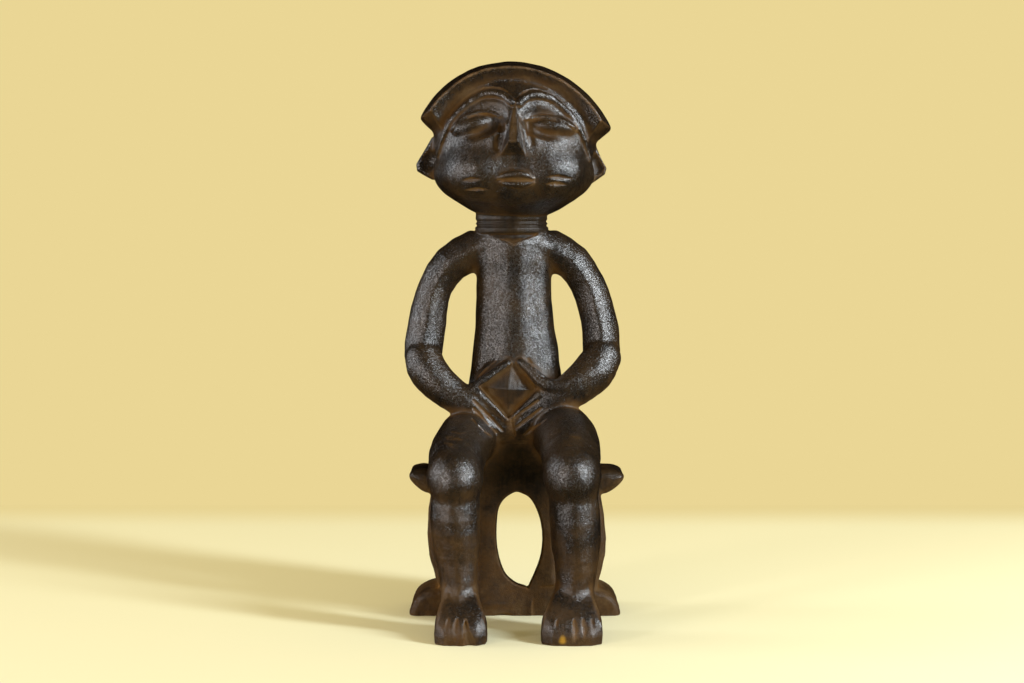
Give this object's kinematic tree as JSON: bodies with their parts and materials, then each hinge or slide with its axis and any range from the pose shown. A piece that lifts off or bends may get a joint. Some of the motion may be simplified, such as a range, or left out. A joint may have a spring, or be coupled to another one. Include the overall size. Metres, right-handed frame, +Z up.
{
  "type": "carved fertility figure",
  "caption": "Seated carved wooden fertility figure with hands framing a diamond navel, on a low stool with a pierced column.",
  "frame": {"origin": "centre of the bounding box at the level of the surface that the stool and the feet stand on", "axes": "+Z up along the figure's height; the figure faces -Y; +X is the figure's own left and the width"},
  "size_m": [0.1084, 0.1176, 0.2726],
  "materials": {
    "dark_patina": "dark brown-black carved hardwood, hand polished, semi-gloss, paler worn ridges",
    "brown_recess": "reddish-brown carved hardwood with a thinner, duller patina and tool marks"
  },
  "bodies": {
    "root": {"cap": "dark_patina", "head": "dark_patina", "left_ear": "dark_patina", "right_ear": "dark_patina", "neck": "brown_recess", "torso": "dark_patina", "left_upper_arm": "dark_patina", "right_upper_arm": "dark_patina", "left_forearm": "dark_patina", "right_forearm": "dark_patina", "left_hand": "dark_patina", "right_hand": "dark_patina", "navel_lozenge": "brown_recess", "hips": "brown_recess", "left_thigh": "dark_patina", "right_thigh": "dark_patina", "left_shin": "dark_patina", "right_shin": "dark_patina", "left_foot": "dark_patina", "right_foot": "dark_patina", "stool_seat": "brown_recess", "stool_column": "brown_recess", "stool_base": "brown_recess"}
  },
  "joints": []
}
